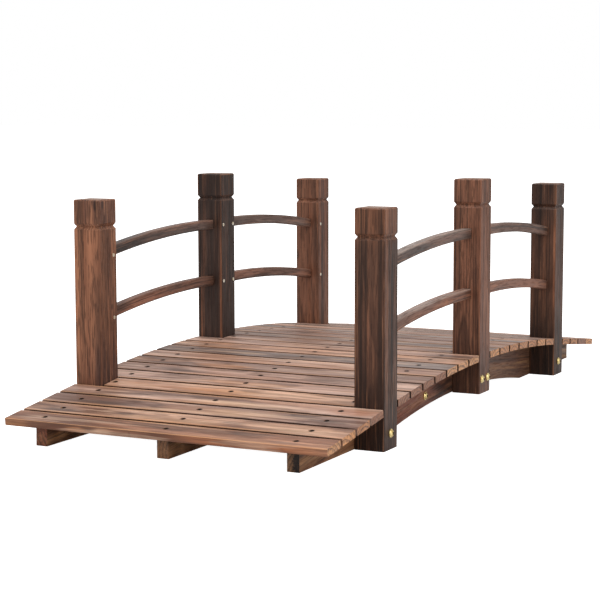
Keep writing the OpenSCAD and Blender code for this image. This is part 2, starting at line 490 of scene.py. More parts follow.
def patch_mask(place, spot, ragged):
    """1 in the middle of a patch, with an edge that follows the grain."""
    offset = place.vector("DIVIDE", place.vector("SUBTRACT", place, spot["centre"]), spot["reach"])
    inside = place.vector("LENGTH", offset, out="Value").ramp(*PATCH_FADE)
    return inside * ragged.at_least(PATCH_EVEN) * spot["depth"]


SCREW_RING = 7.2 * MM
SCREW_RING_CORE = 4.4 * MM


def screw_hole_shade(place, rows):
    """Dark rings round the screws on a board's middle line: painted shade of the countersunk holes, over
    char.
    """
    total = 0.0
    for row in rows:
        offset = place.vector("MULTIPLY", place.vector("SUBTRACT", place, (row, 0.0, 0.0)), (1.0, 1.0, 0.0))
        total = place.vector("LENGTH", offset, out="Value").ramp(SCREW_RING, SCREW_RING_CORE) + total
    return total


DECK_RADIUS = 3.95
DECK_UNDERSIDE = 0.1
RAMP_START = 0.49
SHADE_UNDER_DECK_REACH = 26 * MM


def under_deck(start):
    """1 close under the boards, for painted shade under the deck, from the arc and the ramps of the deck.
    """
    spot = start.node("ShaderNodeTexCoord", out="Object")
    parts = start.node("ShaderNodeSeparateXYZ", {}, {"Vector": spot})
    away = abs(parts)
    curved = start.math("MINIMUM", away, RAMP_START)
    drop = curved * curved / (2 * DECK_RADIUS) + (away - curved) * (RAMP_START / DECK_RADIUS)
    return (DECK_UNDERSIDE - drop - parts.beside("Z")).ramp(SHADE_UNDER_DECK_REACH, 0.0)


# The screw ring and the dark under the deck in this list are painted shade.
print("wood masks: clouds, knots, rings, edges, ends, sides, patches, screw stain and soot")

# %% [markdown]
# ## The finish as one recipe
# All timbers share one recipe: two tones of wood, the growth rings, and then coats laid one over the
# other. A coat is a colour that shows where its own noise says so: stripes of char, orange embers,
# pale brushed lines, smoke. A look holds the tones and the coats, so a piece can take its family's
# look and change two words. Fibres and late wood also lift the surface and change its gloss.

# %% Coats and looks


def coat(colour, depth, waves, low, high):
    """A colour laid on where noise of so many waves a metre passes from low to high."""
    return {"colour": colour, "depth": depth, "waves": waves, "low": low, "high": high}


def vary(look, coats=None, **changes):
    """A look with some words changed, and some words of its coats."""
    varied = dict(look, **changes)
    coats = coats or {}
    varied["coats"] = {kind: dict(layer, **coats.get(kind, {})) for kind, layer in look["coats"].items()}
    return varied


print("a coat holds:", ", ".join(coat(stain(0, 0, 0), 1.0, (1.0, 1.0, 1.0), 0.0, 1.0)))

# %% The masks of one timber
SLOW = (2.6, 6.0, 6.0)
RAGGED = (9.0, 60.0, 60.0)
SPECKLE = (230.0, 230.0, 230.0)
WANDER_WAVES = (2.2, 9.0, 9.0)
PITH_ASIDE = 0.9
PITH_BELOW = (1.2, 3.0)
BAND_SHARE = 0.7
SEED_STEPS = {"knots": 10, "ragged": 25, "band": 30, "slow": 35, "coats": 40, "edge": 60, "speckle": 80}


def timber_masks(start, lie, look, seed):
    """The coordinates and masks that more than one layer of a timber's finish needs."""
    pick = random.Random(seed)
    seeds = {kind: seed + step for kind, step in SEED_STEPS.items()}
    straight = grain_space(start, lie)
    wandering = drift(straight, WANDER_WAVES, seed, look["wander"])
    heart, halo, pull = knots(straight, seeds["knots"], look["knots"])
    pith_across = pick.uniform(-PITH_ASIDE, PITH_ASIDE) * lie.half.y
    pith_through = -pick.uniform(*PITH_BELOW) * lie.half.z - look["pith"]
    pith = (pith_across, pith_through)
    slow = cloud(straight, SLOW, seeds["slow"])
    band = cloud(wandering, look["band"], seeds["band"], detail=3.0)
    return SimpleNamespace(
        straight=straight,
        wandering=wandering,
        heart=heart,
        halo=halo,
        rings=growth_rings(wandering, pull, seed, look["ring_gap"], pith),
        slow=slow,
        band=band * BAND_SHARE + slow * (1.0 - BAND_SHARE),
        ragged=cloud(wandering, RAGGED, seeds["ragged"], 0.4, 0.6, detail=3.0),
        speckle=cloud(straight, SPECKLE, seeds["speckle"], 0.4, 0.62),
        sawn=end_grain(start, lie),
    )


print("masks: each timber has", len(SEED_STEPS), "places in the noise")

# %% Coats over the wood
COAT_DETAIL = 3.5
PATCHES_BEFORE = "stripe"


def lay_coats(colour, grain, look, seed):
    """The colour under a look's coats, with its patches below the stripes, and the coats' masks."""
    masks = {}
    for order, (kind, layer) in enumerate(look["coats"].items()):
        coat_seed = seed + SEED_STEPS["coats"] + order
        mask = cloud(grain.wandering, layer["waves"], coat_seed, layer["low"], layer["high"], COAT_DETAIL)
        if kind == "smoke":
            mask = mask * grain.ragged.at_least(look["smoke_even"])
        if kind == PATCHES_BEFORE:
            for spot in look["patches"]:
                colour = patch_mask(grain.straight, spot, grain.ragged).tint(colour, spot["colour"])
        colour = (mask * layer["depth"]).tint(colour, layer["colour"])
        masks[kind] = mask
    return colour, masks


print("coats: patches go on before the", PATCHES_BEFORE)

# %% Marks on faces and ends
HALO_DEPTH = 0.7
HEART_DEPTH = 0.8
SCREW_HOLE_SHADE_DEPTH = 0.85
DECK_SHADE_EVEN = 0.6
END_RINGS = 0.55
END_SPECKLE = 0.4


def mark_faces(start, colour, lie, grain, look, seed):
    """Worn edges, chamfers with painted shade, knots, and painted shade round the screws, on the narrow
    sides and under the deck, each laid over the last.
    """
    straight = grain.straight
    worn = worn_edge(straight, lie, seed + SEED_STEPS["edge"], look["edge_reach"])
    marks = [
        (worn * look["edge_depth"], look["edge"]),
        # Painted shade on the chamfers of most deck boards; on the two end boards the worn edge colour.
        (chamfer(start, lie) * look["chamfer_depth"], look["chamfer"]),
        (grain.halo * HALO_DEPTH, look["line"]),
        (grain.heart * HEART_DEPTH, look["soot"]),
    ]
    # Painted shade round the countersunk screws.
    if look["screw_rows"]:
        marks.append((screw_hole_shade(straight, look["screw_rows"]) * SCREW_HOLE_SHADE_DEPTH, look["soot"]))
    # Painted shade on the narrow sides, in the gaps between boards.
    if look["side_depth"]:
        side = shaded_narrow_side(start, straight, lie, look["bare_end"])
        marks.append((side * look["side_depth"], look["side"]))
    # Painted shade close under the deck boards, in the dark soot colour.
    if look["under_deck"]:
        soot = under_deck(start) * grain.ragged.at_least(DECK_SHADE_EVEN)
        marks.append((soot * look["under_deck"], look["soot"]))
    for mask, mark_colour in marks:
        colour = mask.tint(colour, mark_colour)
    return colour


def saw_ends(colour, grain, look):
    """The end grain, with rings and speckle, and the char that some ends have."""
    lines = grain.rings * END_RINGS + grain.speckle * END_SPECKLE
    colour = (grain.sawn * look["end_depth"]).tint(colour, lines.tint(look["end"], look["end_line"]))
    for spot in look["end_patches"]:
        char = patch_mask(grain.straight, spot, grain.speckle) * grain.sawn
        colour = char.tint(colour, spot["colour"])
    return colour


# The screw ring in this print is painted shade round the countersunk screws.
print("marks: knots cover", HEART_DEPTH, "and screw stain", SCREW_HOLE_SHADE_DEPTH, "of the wood below")

# %% The recipe
RING_EVEN = 0.35
BUMP_HEIGHT = 0.5 * MM
BUMP_STRENGTH = 0.4
RING_HEIGHT, FIBRE_HEIGHT, SMOKE_HEIGHT = 0.45, 0.4, 0.15
RING_SHINE, FIBRE_DULL, SMOKE_DULL = 0.06, 0.16, 0.08


def charred_fir(name, lie, look, seed):
    """One timber's material: colour, roughness and relief from its own grain."""
    material, start = bare_material(name)
    grain = timber_masks(start, lie, look, seed)
    rings = grain.rings
    colour = grain.band.tint(look["pale"], look["deep"])
    colour = (rings * grain.slow.at_least(RING_EVEN) * look["ring_depth"]).tint(colour, look["line"])
    colour, coats = lay_coats(colour, grain, look, seed)
    colour = mark_faces(start, colour, lie, grain, look, seed)
    fibre, smoke = coats["fibre"], coats["smoke"]
    height = rings * RING_HEIGHT + fibre * FIBRE_HEIGHT + smoke * SMOKE_HEIGHT
    bump = {"Strength": BUMP_STRENGTH, "Distance": BUMP_HEIGHT, "Height": height}
    close_surface(
        start,
        {
            "Base Color": saw_ends(colour, grain, look),
            "Roughness": look["rough"] + fibre * FIBRE_DULL + smoke * SMOKE_DULL - rings * RING_SHINE,
            "Normal": start.node("ShaderNodeBump", {}, bump),
            "Specular IOR Level": look["gloss"],
        },
    )
    return material


def dress(lie, look, seed):
    """Give one CAD timber its own wood."""
    slots = nodes[lie.name].data.materials
    slots.clear()
    slots.append(charred_fir(lie.name + "_wood", lie, look, seed))


print("recipe: grain stands up to", BUMP_HEIGHT / MM, "mm high")

# %% [markdown]
# ## Deck boards
# The deck is the lightest wood here: brushed until it is rose-tan again, with grey smoke left in
# clouds and a warm orange rim where the edge was brushed hardest. The narrow sides and most chamfers
# are painted with shade, so the gaps read as lines. Boards from one stack differ, so each takes one of
# five stains, and the near ones, which the eye rests on, have smudges of their own and painted sheen.

# %% The deck's look
SMUDGE = stain(90, 76, 71)
UMBER = stain(98, 68, 54)
EMBER = stain(216, 148, 96)
PEACH_SHEEN = stain(232, 190, 156)
AMBER = stain(174, 106, 68)
RUST = stain(106, 64, 45)
BLACK = stain(34, 25, 21)
DECK_LOOK = {
    "pale": stain(216, 172, 144),
    "deep": stain(160, 114, 91),
    "line": stain(98, 65, 50),
    # The soot colour darkens knot hearts, and is also the painted shade round the screws and under the
    # deck.
    "soot": stain(40, 29, 25),
    "edge": stain(226, 168, 122),
    # The chamfer colour is painted shade on the slopes into the gaps between boards.
    "chamfer": stain(72, 43, 32),
    # The side colour is painted shade on the narrow sides, in the gaps between boards.
    "side": stain(42, 25, 19),
    "end": stain(196, 144, 102),
    "end_line": stain(70, 43, 31),
    "coats": {
        "smoke": coat(stain(80, 66, 60), 0.6, (6.5, 21.0, 21.0), 0.49, 0.57),
        "ember": coat(stain(204, 144, 103), 0.5, (3.2, 17.0, 17.0), 0.52, 0.61),
        "stripe": coat(stain(92, 62, 50), 0.42, (3.4, 62.0, 62.0), 0.54, 0.61),
        "pale_line": coat(stain(240, 200, 172), 0.36, (4.0, 50.0, 50.0), 0.55, 0.63),
        "fibre": coat(stain(104, 72, 56), 0.3, (14.0, 420.0, 420.0), 0.38, 0.62),
    },
    "patches": [],
    "end_patches": [],
    "band": (1.8, 46.0, 46.0),
    "wander": 0.012,
    "smoke_even": 0.35,
    "pith": 0.02,
    "knots": 0.08,
    "ring_gap": 0.0085,
    "ring_depth": 0.65,
    "screw_rows": [],
    "edge_reach": 0.009,
    "edge_depth": 0.55,
    "chamfer_depth": 0.6,
    "side_depth": 0.95,
    "bare_end": 0.0,
    "end_depth": 0.9,
    "under_deck": 0.0,
    "rough": 0.42,
    "gloss": 0.28,
}
print("deck look: coats of", ", ".join(DECK_LOOK["coats"]))

# %% Stains, smudges and painted sheen of single boards
BOARD_STAINS = {
    "umber": (stain(200, 146, 116), stain(142, 96, 75), 0.6, 0.45),
    "honey": (stain(238, 191, 162), stain(182, 133, 108), 0.5, 0.5),
    "rose": (stain(232, 194, 175), stain(176, 136, 119), 0.55, 0.3),
    "smoky": (stain(188, 155, 140), stain(130, 100, 89), 0.85, 0.25),
    "ash": (stain(158, 141, 134), stain(108, 93, 87), 0.75, 0.15),
}
BOARD_ORDER = (
    "umber honey smoky rose honey rose rose smoky rose ash honey rose smoky "
    "ash smoky smoky ash rose ash smoky ash ash smoky rose smoky"
).split()
# How many near boards get a painted highlight on their edges and painted light at the ends of their sides.
NEAR_LIT_BOARDS = 4
END_STAINS = ((212, 150, 100), (190, 132, 90), (146, 100, 76), (206, 152, 108))
# The peach patches are painted sheen highlights; the others are smoke, char and brushed colour.
BOARD_PATCHES = {
    1: [
        patch(SMUDGE, 0.75, (198, -2, 7), (95, 11, 9)),
        patch(SMUDGE, 0.7, (-164, -10, 7), (60, 9, 9)),
        patch(SMUDGE, 0.6, (-246, 14, 7), (50, 7, 9)),
        patch(UMBER, 0.75, (230, 4, 7), (150, 30, 12)),
        patch(RUST, 0.85, (235, 27, 0), (120, 16, 20)),
        patch(RUST, 0.85, (20, 27, 2), (90, 12, 20)),
        patch(RUST, 0.6, (-130, 27, 0), (150, 10, 20)),
        patch(EMBER, 0.6, (176, 27, -2), (30, 10, 6)),
        patch(AMBER, 0.9, (-200, 28, 0), (190, 7, 20)),
        patch(RUST, 0.7, (-200, 28, -7), (210, 7, 5)),
        patch(PEACH_SHEEN, 0.6, (120, 28, -1), (26, 7, 8)),
        patch(BLACK, 0.6, (150, 28, 2), (22, 7, 5)),
        patch(EMBER, 0.55, (318, 27, 0), (45, 10, 14)),
        patch(BLACK, 0.9, (62, 27, -3), (4, 8, 7)),
    ],
    2: [
        patch(UMBER, 0.95, (250, -4, 7), (170, 44, 12)),
        patch(SMUDGE, 0.9, (123, 0, 7), (24, 10, 9)),
        patch(SMUDGE, 0.7, (262, 4, 7), (55, 14, 9)),
        patch(SMUDGE, 0.7, (-105, 0, 7), (36, 12, 9)),
        patch(PEACH_SHEEN, 0.6, (10, 8, 7), (130, 16, 9)),
        patch(PEACH_SHEEN, 0.5, (-220, 0, 7), (110, 24, 9)),
    ],
    3: [
        patch(UMBER, 0.65, (230, 0, 7), (160, 40, 12)),
        patch(SMUDGE, 0.8, (195, 7, 7), (80, 12, 9)),
        patch(SMUDGE, 0.7, (-202, -4, 7), (70, 10, 9)),
        patch(PEACH_SHEEN, 0.6, (-10, 18, 7), (150, 9, 9)),
        patch(PEACH_SHEEN, 0.5, (-90, 0, 7), (100, 20, 9)),
    ],
    4: [
        patch(UMBER, 0.6, (270, 0, 7), (110, 40, 12)),
        patch(SMUDGE, 0.95, (110, -6, 7), (110, 18, 9)),
        patch(EMBER, 0.5, (10, 18, 7), (120, 8, 9)),
        patch(PEACH_SHEEN, 0.65, (-60, 10, 7), (150, 14, 9)),
        patch(AMBER, 0.5, (-285, 4, 7), (60, 24, 9)),
    ],
    5: [patch(PEACH_SHEEN, 0.4, (-80, 0, 7), (140, 18, 9)), patch(EMBER, 0.45, (20, 4, 7), (110, 18, 9))],
    6: [patch(EMBER, 0.45, (0, 4, 7), (130, 18, 9))],
    7: [patch(SMUDGE, 0.7, (185, 5, 7), (90, 16, 9)), patch(SMUDGE, 0.4, (-190, 0, 7), (110, 20, 9))],
    8: [patch(EMBER, 0.5, (110, 8, 7), (80, 18, 9))],
    10: [patch(SMUDGE, 0.7, (160, 2, 7), (90, 16, 9)), patch(SMUDGE, 0.5, (-60, 0, 7), (150, 18, 9))],
}
print("smudges:", sum(len(places) for places in BOARD_PATCHES.values()), "on", len(BOARD_PATCHES), "boards")

# %% Dress the boards
SEED_STEP = 100
DECK_SEED = 1000
BOARD_PICK_SEED = 700
BOARD_RING_GAPS = (0.0065, 0.0105)
# On the near boards: more edge colour, wear with a painted highlight, and painted light on the sides near
# the ends.
NEAR_EDGE_HIGHLIGHT = 0.7
NEAR_SIDE_END_LIGHT = 0.7
OUTER_FIBRE = 0.55

stringer_rows = []
for row in ("left", "centre", "right"):
    row_low, row_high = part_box("stringer_%s_near" % row)
    stringer_rows.append((row_low.y + row_high.y) / 2)
board_lies = []
for number, kind in enumerate(BOARD_ORDER, 1):
    name = "deck_board_%02d" % number
    lie = Lie(name, (0, 1, 0), top_normal(name))
    pick = random.Random(BOARD_PICK_SEED + number)
    pale, deep, smoke_depth, ember_depth = BOARD_STAINS[kind]
    look = vary(
        DECK_LOOK,
        {"smoke": {"depth": smoke_depth}, "ember": {"depth": ember_depth}},
        pale=pale,
        deep=deep,
        ring_gap=pick.uniform(*BOARD_RING_GAPS),
        end=stain(*pick.choice(END_STAINS)),
        patches=BOARD_PATCHES.get(number, []),
        screw_rows=stringer_rows,
    )
    if number <= NEAR_LIT_BOARDS:
        look.update(edge_depth=NEAR_EDGE_HIGHLIGHT, bare_end=NEAR_SIDE_END_LIGHT)
    # The two end boards have no painted gap shade, and their chamfers take the worn edge colour.
    if number in (1, len(BOARD_ORDER)):
        look = vary(look, {"fibre": {"depth": OUTER_FIBRE}}, side_depth=0.0, chamfer=look["edge"])
    dress(lie, look, DECK_SEED + SEED_STEP * number)
    board_lies.append(lie)
print("deck:", len(board_lies), "boards, half width", round(board_lies[0].half.y / MM, 2), "mm")

# %% [markdown]
# ## Posts
# The posts are scorched hardest, and each one came out of another log: one is russet, one striped like
# a zebra, one nearly black. They share a look with deep stripes along the grain, and every post then
# names its own stain and the places where the flame stayed longest. Some tops are dark with char, and
# some feet carry painted shade below the deck, over char on the end posts.

# %% The posts' look
POST_LOOK = vary(
    DECK_LOOK,
    {
        "fibre": coat(stain(52, 34, 27), 0.4, (26.0, 330.0, 330.0), 0.5, 0.6),
        "stripe": coat(BLACK, 0.8, (0.8, 200.0, 200.0), 0.54, 0.63),
        "ember": coat(stain(158, 98, 66), 0.25, (1.2, 70.0, 70.0), 0.52, 0.68),
        "pale_line": coat(stain(188, 132, 98), 0.45, (6.0, 240.0, 240.0), 0.58, 0.65),
        "smoke": dict(colour=stain(54, 42, 37), depth=0.3, waves=(3.0, 30.0, 30.0)),
    },
    pale=stain(140, 92, 68),
    deep=stain(104, 66, 48),
    line=stain(60, 38, 29),
    soot=stain(28, 22, 20),
    edge=stain(170, 112, 78),
    end=stain(164, 130, 110),
    end_line=stain(72, 52, 43),
    pith=0.03,
    ring_gap=0.0058,
    ring_depth=0.6,
    edge_reach=0.005,
    edge_depth=0.4,
    chamfer_depth=0.0,
    band=(0.8, 60.0, 60.0),
    wander=0.003,
    smoke_even=1.0,
    side_depth=0.0,
    end_depth=0.7,
    rough=0.44,
    gloss=0.22,
)
print("post look: rings every", round(POST_LOOK["ring_gap"] / MM, 1), "mm")

# %% Stains, scorch and painted shade of single posts
COPPER = stain(160, 104, 74)
PLUM = stain(80, 57, 51)
SEPIA = stain(56, 40, 33)
BISTRE = stain(56, 37, 28)
# Dark feet below the deck: painted shade, over char on the end posts.
SHADED_POST_FOOT = patch(BLACK, 0.85, (-223, 0, 0), (185, 900, 900))
SHADED_MID_POST_FOOT = patch(BLACK, 0.5, (-223, 0, 10), (120, 900, 900))
POST_CROWN = patch(BLACK, 0.7, (215, 0, 0), (110, 900, 900))
DARK_RIGHT = patch(SEPIA, 0.6, (0, -36, 0), (900, 16, 900))
CHAR_RIGHT = patch(BLACK, 0.3, (0, -31, -6), (900, 8, 34))
FAR_POST_STREAK = patch(COPPER, 0.75, (40, -27, 31), (170, 3, 6))
FAR_POST_KNOT = patch(BLACK, 0.8, (35, 27, 30), (14, 6, 6))
POST_STAINS_AND_SHADE = {
    "post_left_near": (
        (178, 120, 89),
        (136, 87, 64),
        0.35,
        [
            patch(BLACK, 0.9, (9, -31, -12), (8, 8, 6)),
            # A darker foot below the deck: char with painted shade.
            patch(BLACK, 0.4, (-223, 0, 0), (130, 900, 900)),
            patch(BLACK, 0.6, (0, -40, 0), (330, 28, 60)),
            patch(PLUM, 0.8, (-130, -28, 10), (110, 36, 60)),
            patch(BLACK, 0.9, (212, -20, 31), (14, 5, 6)),
            patch(BLACK, 0.85, (214, -31, 19), (12, 6, 6)),
            patch(PLUM, 0.6, (205, 0, 0), (45, 900, 900)),
            patch(BLACK, 0.45, (195, 22, 30), (36, 14, 20)),
            patch(BLACK, 0.85, (-20, 31, 28), (16, 4, 12)),
        ],
    ),
    "post_left_mid": (
        (88, 64, 55),
        (55, 43, 38),
        0.9,
        [
            POST_CROWN,
            DARK_RIGHT,
            CHAR_RIGHT,
            patch(COPPER, 0.75, (-60, -27, 31), (200, 3, 6)),
            patch(COPPER, 0.6, (-110, 22, 31), (140, 4, 6)),
        ],
    ),
    "post_left_far": ((154, 104, 79), (108, 70, 53), 0.7, [FAR_POST_KNOT]),
    "post_right_near": (
        (124, 84, 65),
        (96, 64, 49),
        0.6,
        [
            SHADED_POST_FOOT,
            patch(BISTRE, 0.85, (0, -34, 0), (900, 12, 900)),
            patch(COPPER, 0.35, (40, -31, 20), (260, 6, 9)),
            patch(COPPER, 0.4, (205, 0, 0), (50, 900, 900)),
            patch(BLACK, 0.95, (0, -31, -3), (400, 7, 5)),
            patch(BLACK, 0.6, (0, -31, 9), (400, 7, 2)),
            patch(BLACK, 0.45, (0, -22, 31), (400, 2, 6)),
            patch(BLACK, 0.85, (0, 17, 31), (400, 4, 6)),
            patch(BLACK, 0.7, (90, 3, 31), (40, 2, 6)),
            patch(BLACK, 0.8, (-120, -2, 31), (22, 5, 12)),
        ],
    ),
    "post_right_mid": ((152, 102, 78), (116, 76, 58), 0.6, [SHADED_MID_POST_FOOT]),
    "post_right_far": (
        (106, 72, 56),
        (64, 44, 35),
        0.85,
        [SHADED_POST_FOOT, POST_CROWN, CHAR_RIGHT, FAR_POST_STREAK],
    ),
}
# The places counted here are scorch, with painted shade at the feet.
print("scorch:", sum(len(stains[-1]) for stains in POST_STAINS_AND_SHADE.values()), "places on the posts")

# %% Dress the posts
POST_SEED = 5000
LEAST_FIBRE, BRUSHED_FIBRE = 0.35, 0.3
LEAST_PALE_LINE, BRUSHED_PALE_LINE = 0.08, 0.5

for index, (name, (pale, deep, stripe_depth, places)) in enumerate(POST_STAINS_AND_SHADE.items()):
    brushing = 1.0 - stripe_depth
    look = vary(
        POST_LOOK,
        {
            "stripe": {"depth": stripe_depth},
            "fibre": {"depth": LEAST_FIBRE + brushing * BRUSHED_FIBRE},
            "pale_line": {"depth": LEAST_PALE_LINE + brushing * BRUSHED_PALE_LINE},
        },
        pale=stain(*pale),
        deep=stain(*deep),
        patches=places,
    )
    dress(Lie(name, (0, 0, 1), (-1, 0, 0)), look, POST_SEED + SEED_STEP * index)
print("posts:", len(POST_STAINS_AND_SHADE))

# %% [markdown]
# ## Rails
# The rails are thin bowed bars with fine grain that follows the bow, as in a bar that was steamed and
# bent. Upper rails are greyer and lower ones redder. The near upper rails have painted shade on their
# lower half, and the two on the right a painted highlight along the top.

# %% The rails' look
RAIL_BOW = 9.2 * MM
RAIL_END = 14.0 * MM


def rail_end_height(name, at):
    """The middle height of a rail near one end, from its own corners."""
    heights = [corner.co.z for corner in nodes[name].data.vertices if abs(corner.co.x - at) < RAIL_END]
    return (min(heights) + max(heights)) / 2


RAIL_LOOK = vary(
    POST_LOOK,
    {
        "stripe": dict(depth=0.6, waves=(1.2, 250.0, 250.0), low=0.53, high=0.63),
        "ember": dict(depth=0.15),
        "pale_line": dict(depth=0.25),
        "smoke": dict(colour=stain(74, 61, 55)),
    },
    pale=stain(146, 108, 91),
    deep=stain(102, 72, 58),
    line=stain(66, 46, 38),
    edge=stain(176, 132, 106),
    patches=[],
    wander=0.004,
    knots=0.05,
    ring_gap=0.0042,
    edge_depth=0.2,
)
print("rail look: bowed by", round(RAIL_BOW / MM, 1), "mm")

# %% Dress the rails
# The pale grey is a painted highlight colour and DUSK a painted shade colour.
HIGHLIGHT_GREY = stain(186, 170, 160)
DUSK = stain(62, 50, 45)
RAIL_SEED = 7000
RAIL_STAINS = {
    "upper": ((140, 106, 91), (94, 69, 58), 0.7, 0.45),
    "lower": ((158, 107, 84), (98, 65, 50), 0.4, 0.3),
}
# A painted highlight along the top of a rail, in pale grey.
RAIL_TOP_HIGHLIGHT = patch(HIGHLIGHT_GREY, 0.5, (0, -12, 0), (900, 6, 900))
# Painted shade on the lower half of an upper rail.
RAIL_SHADE = patch(DUSK, 0.75, (0, 6, 0), (900, 14, 900))
RAIL_PATCHES = {
    "rail_left_near_upper": [RAIL_SHADE, patch(BLACK, 0.75, (-200, 0, 0), (150, 900, 900))],
    "rail_left_near_lower": [patch(BLACK, 0.6, (-215, 0, 0), (90, 900, 900))],
    # Painted shade, deeper at the near end of this rail.
    "rail_right_near_upper": [RAIL_SHADE, RAIL_TOP_HIGHLIGHT, patch(DUSK, 0.9, (-170, 4, 0), (200, 14, 900))],
    "rail_right_near_lower": [RAIL_TOP_HIGHLIGHT, patch(AMBER, 0.5, (60, 2, -10), (70, 10, 14))],
    "rail_left_far_lower": [patch(BLACK, 0.35, (-60, 12, 0), (200, 16, 900))],
    "rail_left_far_upper": [patch(BLACK, 0.35, (-150, 10, 0), (150, 16, 900))],
}
rail_names = sorted(name for name in nodes if name.startswith("rail_"))
for index, name in enumerate(rail_names):
    rail_low, rail_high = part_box(name)
    climb = rail_end_height(name, rail_high.x) - rail_end_height(name, rail_low.x)
    chord = (rail_high.x - rail_low.x, 0, climb)
    pale, deep, smoke_depth, gloss = RAIL_STAINS[name.rsplit("_", 1)[1]]
    look = vary(
        RAIL_LOOK,
        {"smoke": {"depth": smoke_depth}},
        pale=stain(*pale),
        deep=stain(*deep),
        gloss=gloss,
        patches=RAIL_PATCHES.get(name, []),
    )
    dress(Lie(name, chord, (0, 1, 0), RAIL_BOW), look, RAIL_SEED + SEED_STEP * index)
print("rails:", len(rail_names))

# %% [markdown]
# ## Stringers and cleats
# Under the deck the wood was only wiped with stain: olive-brown planks with a plain grain, redder where
# they are sawn across, and darker close under the boards with painted shade. The grain climbs with each
# half of the arch.

# %% The stringers' look
RUSSET = stain(122, 71, 52)
STRINGER_LOOK = vary(
    POST_LOOK,
    {
        "fibre": dict(depth=0.35),
        "stripe": dict(depth=0.5, waves=(1.4, 130.0, 130.0), low=0.53, high=0.64),
        "pale_line": dict(colour=stain(186, 148, 102), depth=0.4, waves=(1.4, 170.0, 170.0)),
    },
    pale=stain(196, 146, 104),
    deep=stain(126, 87, 60),
    line=stain(72, 48, 34),
    patches=[],
    band=(1.4, 40.0, 40.0),
    wander=0.01,
    ring_gap=0.0075,
    ring_depth=0.75,
    under_deck=0.9,
)
print("stringer look: rings every", round(STRINGER_LOOK["ring_gap"] / MM, 1), "mm")

# %% Dress the stringers and cleats
STRINGER_CLIMB = 0.085
PLANK_SEED = 8000
STRINGER_PATCHES = {
    "stringer_right_near": [
        patch(RUSSET, 1.4, (150, 0, -12), (240, 900, 900)),
        patch(BLACK, 0.9, (330, 0, -12), (130, 900, 900)),
    ],
    "stringer_right_far": [
        patch(BLACK, 0.75, (230, 0, -12), (130, 900, 900)),
        patch(UMBER, 0.9, (-60, 0, -12), (260, 900, 900)),
    ],
}
STRINGER_COATS = {"stringer_right_near": {"stripe": {"depth": 0.3}, "pale_line": {"depth": 0.1}}}
SHADE_UNDER_DECK_DEPTHS = {"stringer_right_near": 0.55}
STRINGER_ENDS = {
    "stringer_left_near": ((130, 70, 50), (52, 29, 22)),
    "stringer_centre_near": ((134, 92, 64), (44, 29, 22)),
    "stringer_right_near": ((128, 94, 66), (44, 32, 26)),
}
END_CHAR = {
    "stringer_left_near": [patch(BLACK, 0.8, (-372, 22, 8), (20, 8, 20))],
    "stringer_right_near": [patch(BLACK, 1.8, (-372, -4, -10), (30, 40, 14))],
}
PLAIN_END = ((140, 82, 59), (66, 38, 29))
plank_names = sorted(name for name in nodes if name.startswith(("stringer_", "splice_cleat_")))
for index, name in enumerate(plank_names):
    climb = {"near": STRINGER_CLIMB, "far": -STRINGER_CLIMB}.get(name.rsplit("_", 1)[1], 0.0)
    end, end_line = STRINGER_ENDS.get(name, PLAIN_END)
    look = vary(
        STRINGER_LOOK,
        STRINGER_COATS.get(name),
        patches=STRINGER_PATCHES.get(name, []),
        end=stain(*end),
        end_line=stain(*end_line),
        end_patches=END_CHAR.get(name, []),
        under_deck=SHADE_UNDER_DECK_DEPTHS.get(name, STRINGER_LOOK["under_deck"]),
    )
    dress(Lie(name, (1, 0, climb), (0, 1, 0)), look, PLANK_SEED + SEED_STEP * index)
print("stringers and cleats:", len(plank_names))

# %% [markdown]
# ## Metal finishes
# The bolts are yellow-passivated steel that reads as brass, the deck screws are dark and dull, and
# the small screws at the rails are bright. Fresh metal with one even gloss looks like plastic, so a
# cloud of handling marks changes the colour and the roughness a little.

# %% Brass and steel
MARKS_PER_METRE = 240.0
MARK_EDGES = (0.35, 0.7)
MARK_DEPTH = 0.1 * MM
MARK_STRENGTH = 0.2


def metal(name, bright, dull, rough, rough_change):
    """A metal with handling marks in its colour, its gloss and its surface."""
    material, start = bare_material(name)
    spot = start.node("ShaderNodeTexCoord", out="Object")
    sockets = {"Vector": spot, "Scale": MARKS_PER_METRE, "Detail": 3.0}
    marks = start.node("ShaderNodeTexNoise", {}, sockets).ramp(*MARK_EDGES)
    bump = {"Strength": MARK_STRENGTH, "Distance": MARK_DEPTH, "Height": marks}
    close_surface(
        start,
        {
            "Base Color": marks.tint(bright, dull),
            "Metallic": 1.0,
            "Roughness": rough + marks * rough_change,
            "Normal": start.node("ShaderNodeBump", {}, bump),
        },
    )
    return material


brass = metal("bolt_brass", stain(250, 230, 166), stain(196, 162, 98), 0.14, 0.14)
dark_steel = metal("deck_screw_steel", stain(70, 60, 54), stain(38, 32, 29), 0.42, 0.2)
bright_steel = metal("rail_screw_steel", stain(255, 250, 238), stain(226, 208, 176), 0.3, 0.18)
print("metals:", brass.name, dark_steel.name, bright_steel.name)

# %% [markdown]
# ## Fixings as one Geometry Nodes idea
# A screw is drawn once and set at many places. Copying objects by hand would do it, but a change of
# size would then mean doing it all again. Here a mesh of loose points holds the places, and an
# attribute on them holds the way that each head looks. A tree draws one head from named sizes, puts
# it on every point and turns it. The result is made real, so that it exports as plain mesh.

# %% Places for fixings


def seats(name, places):
    """An object of loose points. Each place is a point and the direction that its head looks in."""
    mesh = bpy.data.meshes.new(name)
    mesh.from_pydata([point for point, look in places], [], [])
    attribute = mesh.attributes.new("facing", "FLOAT_VECTOR", "POINT")
    attribute.data.foreach_set("vector", [value for point, look in places for value in look])
    seat = bpy.data.objects.new(name, mesh)
    scene.collection.objects.link(seat)
    return seat


print("seats: a point and a direction for each head")

# %% A tree that sets a head on every point
SPIN_SEED = 11


